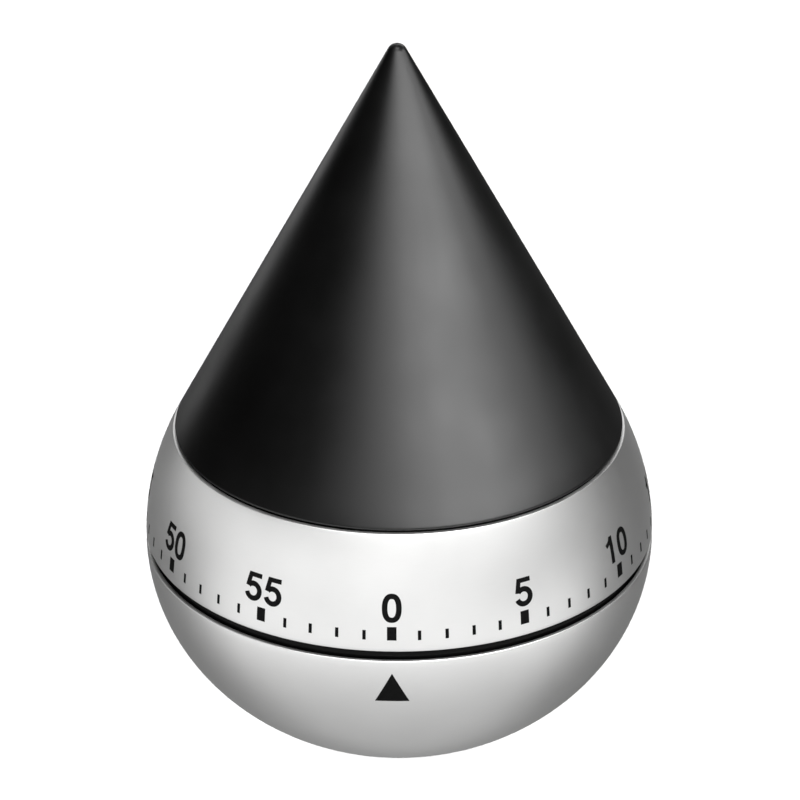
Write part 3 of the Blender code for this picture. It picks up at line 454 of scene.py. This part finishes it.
def digit_strokes():
    """Centre lines of the digits, one high and about two thirds wide, with each line's width."""
    low, high = BAR / 2, 1.0 - BAR / 2
    return {
        "0": [(superellipse(0.326, 0.5, 0.236, 0.5 - low, 2.4), STEM, True)],
        "1": [([(0.385, 0.0), (0.385, 1.0)], STEM, False),
              ([(0.09, 0.71), (0.22, 0.765), (0.31, 0.84), (0.36, 0.94)], BAR * 0.92, False)],
        "2": [(bow(0.325, 0.705, 0.235, 0.295 - low, 170.0, -30.0) + [(0.14, 0.16), (0.10, 0.07)],
               STEM, False),
              ([(0.02, low), (0.62, low)], BAR, False)],
        "3": [(bow(0.315, 0.74, 0.205, 0.26 - low, 166.0, -85.0), STEM * 0.95, False),
              (bow(0.315, 0.295, 0.235, 0.295 - low, 86.0, -166.0), STEM, False),
              ([(0.21, 0.535), (0.36, 0.535)], BAR * 0.9, False)],
        "4": [([(0.445, 0.0), (0.445, 1.0)], STEM, False),
              ([(0.425, 0.93), (0.10, 0.30)], BAR, False),
              ([(0.01, 0.275), (0.64, 0.275)], BAR, False)],
        "5": [([(0.635, high), (0.197, high), (0.115, 0.49)], BAR, False),
              (bow(0.338, 0.345, 0.250, 0.345 - low, 140.0, -163.0, 21), STEM, False)],
    }


def numerals(look):
    """0, 5, 10 ... 55, each centred over its long tick; the numbers grow to the right."""
    shapes = digit_strokes()
    bm = bmesh.new()
    for minute in range(0, MINUTES, 5):
        text = str(minute)
        angle = math.tau * minute / MINUTES
        width = NUMERAL_ADVANCE * (len(text) - 1) + DIGIT_WIDTH * NUMERAL_HEIGHT
        for place, digit in enumerate(text):
            left = -width / 2 + NUMERAL_ADVANCE * place
            for layer, (points, weight, closed) in enumerate(shapes[digit]):
                pairs = [tuple((left + x * NUMERAL_HEIGHT, NUMERAL_FOOT + y * NUMERAL_HEIGHT)
                               for x, y in pair) for pair in stroke(points, weight, closed)]
                ribbon(bm, pairs, on_dial, angle, closed, PRINT_HEIGHT + layer * PRINT_STEP)
    link("dial_numerals", mesh_from("dial_numerals", bm), "dial", look)


def ticks(look):
    """A short tick for each minute and a broad one for each five."""
    bm = bmesh.new()
    for minute in range(MINUTES):
        width, height = MINOR_TICK if minute % 5 else MAJOR_TICK
        ribbon(bm, block(width, TICK_FOOT, TICK_FOOT + height), on_dial, math.tau * minute / MINUTES)
    link("minute_ticks", mesh_from("minute_ticks", bm), "dial", look)


def index_mark(look):
    """The triangle on the bowl that points up at the scale: one thin closed patch of ink."""
    width, height = INDEX_SIZE
    point_width = 0.008 * MM
    rows, columns = 16, 12
    bm = bmesh.new()
    layers = []
    for lift in (PRINT_HEIGHT, -PRINT_DEPTH):
        layer = []
        for row in range(rows + 1):
            share = row / rows
            span = max(point_width, width * share)
            level = -INDEX_DROP - height * share
            layer.append([bm.verts.new(on_bowl(span * (column / columns - 0.5), level, lift, 0.0))
                          for column in range(columns + 1)])
        layers.append(layer)
    for layer in layers:
        for row in range(rows):
            for column in range(columns):
                bm.faces.new((layer[row][column], layer[row][column + 1],
                              layer[row + 1][column + 1], layer[row + 1][column]))
    rim = [(0, column) for column in range(columns)]
    rim += [(row, columns) for row in range(rows)]
    rim += [(rows, columns - column) for column in range(columns)]
    rim += [(rows - row, 0) for row in range(rows)]
    top, under = layers
    for (row, column), (next_row, next_column) in zip(rim, rim[1:] + rim[:1]):
        bm.faces.new((top[row][column], top[next_row][next_column],
                      under[next_row][next_column], under[row][column]))
    link("index_mark", mesh_from("index_mark", bm), "root", look)


# ---------------------------------------------------------------- materials

class Nodes:
    """Small shorthand for a material's node tree."""

    def __init__(self, name, roughness, metallic=0.0, specular=0.5):
        self.material = bpy.data.materials.new(name)
        self.material.use_nodes = True
        self.tree = self.material.node_tree
        self.shader = self.tree.nodes["Principled BSDF"]
        self.shader.inputs["Roughness"].default_value = roughness
        self.shader.inputs["Metallic"].default_value = metallic
        self.shader.inputs["Specular IOR Level"].default_value = specular

    def add(self, kind, **values):
        """A new node with the given settings."""
        node = self.tree.nodes.new(kind)
        for key, value in values.items():
            setattr(node, key, value)
        return node

    def join(self, source, target):
        self.tree.links.new(source, target)

    def place(self, scale=(1.0, 1.0, 1.0)):
        """The piece's own coordinates, in metres, stretched by scale."""
        coordinates = self.add("ShaderNodeTexCoord")
        mapping = self.add("ShaderNodeMapping")
        mapping.inputs["Scale"].default_value = scale
        self.join(coordinates.outputs["Object"], mapping.inputs["Vector"])
        return mapping.outputs["Vector"]

    def round_place(self, around, up):
        """Coordinates that run round the Z axis and up it, for turned or brushed marks."""
        coordinates = self.add("ShaderNodeTexCoord")
        split = self.add("ShaderNodeSeparateXYZ")
        self.join(coordinates.outputs["Object"], split.inputs["Vector"])
        angle = self.add("ShaderNodeMath", operation="ARCTAN2")
        self.join(split.outputs["Y"], angle.inputs[0])
        self.join(split.outputs["X"], angle.inputs[1])
        turn = self.add("ShaderNodeMath", operation="MULTIPLY")
        turn.inputs[1].default_value = around
        self.join(angle.outputs["Value"], turn.inputs[0])
        rise = self.add("ShaderNodeMath", operation="MULTIPLY")
        rise.inputs[1].default_value = up
        self.join(split.outputs["Z"], rise.inputs[0])
        merged = self.add("ShaderNodeCombineXYZ")
        self.join(turn.outputs["Value"], merged.inputs["X"])
        self.join(rise.outputs["Value"], merged.inputs["Y"])
        return merged.outputs["Vector"]

    def noise(self, vector, scale, detail=3.0, roughness=0.5):
        node = self.add("ShaderNodeTexNoise")
        node.inputs["Scale"].default_value = scale
        node.inputs["Detail"].default_value = detail
        node.inputs["Roughness"].default_value = roughness
        self.join(vector, node.inputs["Vector"])
        return node.outputs["Fac"]

    def spread(self, factor, low, high):
        """A number from low to high as the noise goes over its usual range."""
        node = self.add("ShaderNodeMapRange")
        node.inputs["From Min"].default_value = NOISE_LOW
        node.inputs["From Max"].default_value = NOISE_HIGH
        node.inputs["To Min"].default_value = low
        node.inputs["To Max"].default_value = high
        self.join(factor, node.inputs["Value"])
        return node.outputs["Result"]

    def colour(self, factor, low, high):
        """A base colour that drifts between two as the noise does."""
        node = self.add("ShaderNodeValToRGB")
        for element, position, value in zip(node.color_ramp.elements, (NOISE_LOW, NOISE_HIGH), (low, high)):
            element.position = position
            element.color = (*value, 1.0)
        self.join(factor, node.inputs["Fac"])
        self.join(node.outputs["Color"], self.shader.inputs["Base Color"])

    def rough(self, factor, low, high):
        self.join(self.spread(factor, low, high), self.shader.inputs["Roughness"])

    def bump(self, height, strength, distance):
        node = self.add("ShaderNodeBump")
        node.inputs["Strength"].default_value = strength
        node.inputs["Distance"].default_value = distance
        self.join(height, node.inputs["Height"])
        self.join(node.outputs["Normal"], self.shader.inputs["Normal"])


def soft_touch():
    """Rubbery lacquer: near black, a broad sheen and a very fine grain."""
    look = Nodes("soft_touch_black", 0.37)
    place = look.place()
    cloud = look.noise(place, 90.0, 4.0)
    grain = look.noise(place, 5200.0, 2.0)
    look.colour(cloud, (0.0006, 0.0006, 0.0006), (0.0012, 0.0012, 0.0012))
    look.rough(cloud, 0.34, 0.41)
    look.bump(grain, 0.14, 0.02 * MM)
    return look.material


def satin_steel():
    """Stainless steel with a fine satin grain that runs round the body."""
    look = Nodes("satin_steel", 0.46, metallic=1.0)
    place = look.place()
    strands = look.noise(look.round_place(14.0, 9000.0), 1.0, 4.0, 0.6)
    cloud = look.noise(place, 70.0, 3.0)
    look.colour(cloud, (0.650, 0.650, 0.645), (0.700, 0.700, 0.695))
    look.rough(strands, 0.42, 0.50)
    look.bump(strands, 0.10, 0.01 * MM)
    return look.material


def moulded_black():
    """Moulded plastic: matt black with a fine spark-eroded grain."""
    look = Nodes("black_abs", 0.5, specular=0.08)
    place = look.place()
    grain = look.noise(place, 2600.0, 3.0)
    cloud = look.noise(place, 150.0)
    look.colour(cloud, (0.0015, 0.0015, 0.0015), (0.0035, 0.0035, 0.0035))
    look.rough(cloud, 0.45, 0.60)
    look.bump(grain, 0.25, 0.03 * MM)
    return look.material


def foot_rubber():
    """Dull dark rubber with a mottled grain."""
    look = Nodes("foot_rubber", 0.8, specular=0.3)
    place = look.place()
    grain = look.noise(place, 1900.0, 5.0, 0.6)
    look.colour(grain, (0.010, 0.010, 0.010), (0.022, 0.022, 0.021))
    look.rough(grain, 0.72, 0.9)
    look.bump(grain, 0.4, 0.05 * MM)
    return look.material


def print_ink():
    """Screen-printed ink: matt, near black."""
    look = Nodes("black_print", 0.55, specular=0.04)
    place = look.place()
    cloud = look.noise(place, 2400.0, 2.0)
    look.colour(cloud, (0.0025, 0.0025, 0.0025), (0.0050, 0.0050, 0.0050))
    look.rough(cloud, 0.50, 0.65)
    return look.material


def machined(name, low, high, roughness, marks=(1.0, 1.0, 1.0)):
    """Metal of the clockwork, with fine tool marks and a little tarnish."""
    look = Nodes(name, roughness, metallic=1.0)
    place = look.place(marks)
    tool = look.noise(place, 6000.0, 3.0)
    tarnish = look.noise(look.place(), 260.0, 4.0)
    look.colour(tarnish, low, high)
    look.rough(tool, roughness - 0.06, roughness + 0.10)
    look.bump(tool, 0.12, 0.01 * MM)
    return look.material


def looks():
    """The materials by the record's slot names."""
    return {
        "soft_touch_black": soft_touch(),
        "satin_steel": satin_steel(),
        "black_abs": moulded_black(),
        "foot_rubber": foot_rubber(),
        "black_print": print_ink(),
        "brass": machined("brass", (0.62, 0.42, 0.16), (0.80, 0.60, 0.27), 0.32, (1.0, 0.08, 1.0)),
        "machine_steel": machined("machine_steel", (0.42, 0.42, 0.43), (0.58, 0.58, 0.58), 0.28),
        "spring_steel": machined("spring_steel", (0.09, 0.12, 0.22), (0.20, 0.22, 0.30), 0.27),
        "bell_metal": machined("bell_metal", (0.66, 0.66, 0.64), (0.78, 0.78, 0.76), 0.14),
    }


def dress_nodes(materials):
    """Every CAD node that stays takes its slot's material."""
    for row in frame["record"]["subparts"]:
        node = frame["nodes"][row["node"]]
        node.data.materials.clear()
        node.data.materials.append(materials[row["material_slot"]])


# ---------------------------------------------------------------- camera, floor and light

def direction(azimuth, elevation):
    """A unit vector from angles in degrees; azimuth is counted from the front, growing to the right."""
    azimuth, elevation = math.radians(azimuth), math.radians(elevation)
    return Vector((math.sin(azimuth) * math.cos(elevation), -math.cos(azimuth) * math.cos(elevation),
                   math.sin(elevation)))


def camera():
    """A long lens, a little right of the index mark and thirty degrees above the equator."""
    distance, lens, lean_angle = 16.29 * BODY_RADIUS, 184.9, -0.25
    back = direction(1.72, 29.5)
    target = Vector((0.17 * MM, 0.0, EQUATOR_Z + 0.571 * BODY_RADIUS))
    data = bpy.data.cameras.new("camera")
    data.lens = lens
    data.sensor_width = 36.0
    data.clip_start = 0.01
    holder = bpy.data.objects.new("camera", data)
    bpy.context.scene.collection.objects.link(holder)
    place = Vector((0.0, 0.0, EQUATOR_Z)) + back * distance
    rotation = (target - place).to_track_quat("-Z", "Y").to_matrix().to_4x4()
    lean = Matrix.Rotation(math.radians(lean_angle), 4, "Z")
    holder.matrix_world = Matrix.Translation(place) @ rotation @ lean
    bpy.context.scene.camera = holder


def floor():
    """A white table, just under the foot; the steel mirrors the room's lower half instead of it."""
    radius, drop = 2.5, 0.02 * MM
    bm = bmesh.new()
    bmesh.ops.create_circle(bm, cap_ends=True, segments=96, radius=radius,
                            matrix=Matrix.Translation((0.0, 0.0, -drop)))
    mesh = bpy.data.meshes.new("floor")
    bm.to_mesh(mesh)
    bm.free()
    look = Nodes("floor", 0.8, specular=0.1)
    cloud = look.noise(look.place(), 3.0)
    look.colour(cloud, (0.86, 0.86, 0.86), (0.88, 0.88, 0.88))
    mesh.materials.append(look.material)
    plane = bpy.data.objects.new("floor", mesh)
    bpy.context.scene.collection.objects.link(plane)
    plane.visible_glossy = False
    plane.visible_diffuse = False
    plane.visible_shadow = False
    return plane


def area_light(name, azimuth, elevation, distance, size, power):
    """A softbox that points at the timer and that the camera doesn't see."""
    data = bpy.data.lights.new(name, "AREA")
    data.shape = "RECTANGLE"
    data.size, data.size_y = size
    data.energy = power
    lamp = bpy.data.objects.new(name, data)
    lamp.visible_camera = False
    bpy.context.scene.collection.objects.link(lamp)
    back = direction(azimuth, elevation)
    lamp.matrix_world = (Matrix.Translation(LAMP_TARGET + back * distance)
                         @ (-back).to_track_quat("-Z", "Y").to_matrix().to_4x4())
    return lamp


def grouped(name, pieces):
    """A collection for light linking only, not linked to the scene."""
    group = bpy.data.collections.new(name)
    for piece in pieces:
        group.objects.link(piece)
    return group


def lamp_set(name, pieces, size, rows):
    """Softboxes a metre away that light these pieces only; a row is azimuth, elevation and watts."""
    group = grouped(f"{name}_light", pieces)
    for number, (azimuth, elevation, power) in enumerate(rows):
        lamp = area_light(f"{name}_softbox_{number}", azimuth, elevation, 1.0, size, power)
        lamp.light_linking.receiver_collection = group


def room():
    """A dim room, white to the camera. Its lower half is a lit table, bright in front, dim behind."""
    world = bpy.data.worlds.new("world")
    bpy.context.scene.world = world
    world.use_nodes = True
    tree = world.node_tree

    def ramp(value, low, high, start, end):
        node = tree.nodes.new("ShaderNodeMapRange")
        tree.links.new(value, node.inputs["Value"])
        node.inputs["From Min"].default_value = low
        node.inputs["From Max"].default_value = high
        node.inputs["To Min"].default_value = start
        node.inputs["To Max"].default_value = end
        return node.outputs["Result"]

    def calculate(operation, *values):
        node = tree.nodes.new("ShaderNodeMath")
        node.operation = operation
        for socket, value in zip(node.inputs, values):
            if isinstance(value, float):
                socket.default_value = value
            else:
                tree.links.new(value, socket)
        return node.outputs["Value"]

    def blend(share, one, other):
        """The one level where share is 1 and the other where it is 0."""
        return calculate("MULTIPLY_ADD", share, calculate("SUBTRACT", one, other), other)

    place = tree.nodes.new("ShaderNodeTexCoord")
    split = tree.nodes.new("ShaderNodeSeparateXYZ")
    tree.links.new(place.outputs["Generated"], split.inputs["Vector"])
    deep, rise = split.outputs["Y"], split.outputs["Z"]
    fore = ramp(deep, -0.1, 0.1, 1.0, 0.0)
    below = ramp(rise, -0.30, -0.10, 1.0, 0.0)
    steep = ramp(rise, -0.60, -0.45, 1.0, 0.0)
    nadir = ramp(rise, -0.95, -0.85, 1.0, 0.0)
    table = blend(nadir, 0.60, blend(fore, blend(steep, 0.75, 1.80), 0.08))
    level = blend(below, table, 0.01)
    seen = tree.nodes.new("ShaderNodeLightPath")
    background = tree.nodes["Background"]
    background.inputs["Color"].default_value = (1.0, 1.0, 1.0, 1.0)
    strength = calculate("MAXIMUM", level, seen.outputs["Is Camera Ray"])
    tree.links.new(strength, background.inputs["Strength"])


def lights(table, cap, others):
    """Three sets, kept apart as flags and screens do in a studio: dark cone, steel, white table."""
    lamp_set("cap", [cap], (0.5, 0.3), (
        (-20.0, 42.0, 1.4), (0.0, 42.0, 1.3), (20.0, 42.0, 2.0), (0.0, 24.0, 0.9),
        (20.0, 24.0, 2.4), (40.0, 24.0, 3.6), (60.0, 24.0, 3.1), (80.0, 24.0, 1.1),
        (100.0, 24.0, 1.8), (-150.0, -3.0, 0.4), (10.0, 78.0, 3.5), (180.0, 42.0, 1.0),
        (160.0, 24.0, 1.2), (200.0, 24.0, 0.6)))
    lamp_set("steel", others, (0.8, 0.45), (
        (-100.0, 7.0, 1.1), (-60.0, 7.0, 1.5), (-20.0, 7.0, 1.6), (0.0, 7.0, 0.5),
        (20.0, 7.0, 0.9), (40.0, 7.0, 0.6), (80.0, 7.0, 0.5), (60.0, 24.0, 1.0),
        (-40.0, 42.0, 0.5), (0.0, 62.0, 8.8), (40.0, 62.0, 12.0), (180.0, 7.0, 1.2),
        (180.0, 30.0, 1.6)))
    table_only = grouped("table_light", [table])
    shading = area_light("table_softbox", 0.0, 88.0, 1.2, (1.6, 1.6), 5.0)
    shading.light_linking.receiver_collection = table_only
    fill = bpy.data.objects.new("table_fill", bpy.data.lights.new("table_fill", "SUN"))
    fill.data.energy = 3.3
    bpy.context.scene.collection.objects.link(fill)
    fill.light_linking.receiver_collection = table_only
    fill.light_linking.blocker_collection = table_only


def plain_colours():
    """Colours as they are lit, with no film curve."""
    view = bpy.context.scene.view_settings
    view.view_transform = "Standard"
    view.look = "None"


# ---------------------------------------------------------------- the scene

camera()
MATERIALS = looks()
dress_nodes(MATERIALS)
CAP = soft_cap(MATERIALS["soft_touch_black"])
steel_dial(MATERIALS["satin_steel"])
steel_bowl(MATERIALS["satin_steel"])
moulded_housing(MATERIALS["black_abs"])
moulded_base(MATERIALS["black_abs"])
rubber_foot(MATERIALS["foot_rubber"])
slotted_screws(MATERIALS["machine_steel"])
numerals(MATERIALS["black_print"])
ticks(MATERIALS["black_print"])
index_mark(MATERIALS["black_print"])
OTHERS = [thing for thing in bpy.data.objects if thing.type == "MESH" and thing != CAP]
room()
lights(floor(), CAP, OTHERS)
plain_colours()
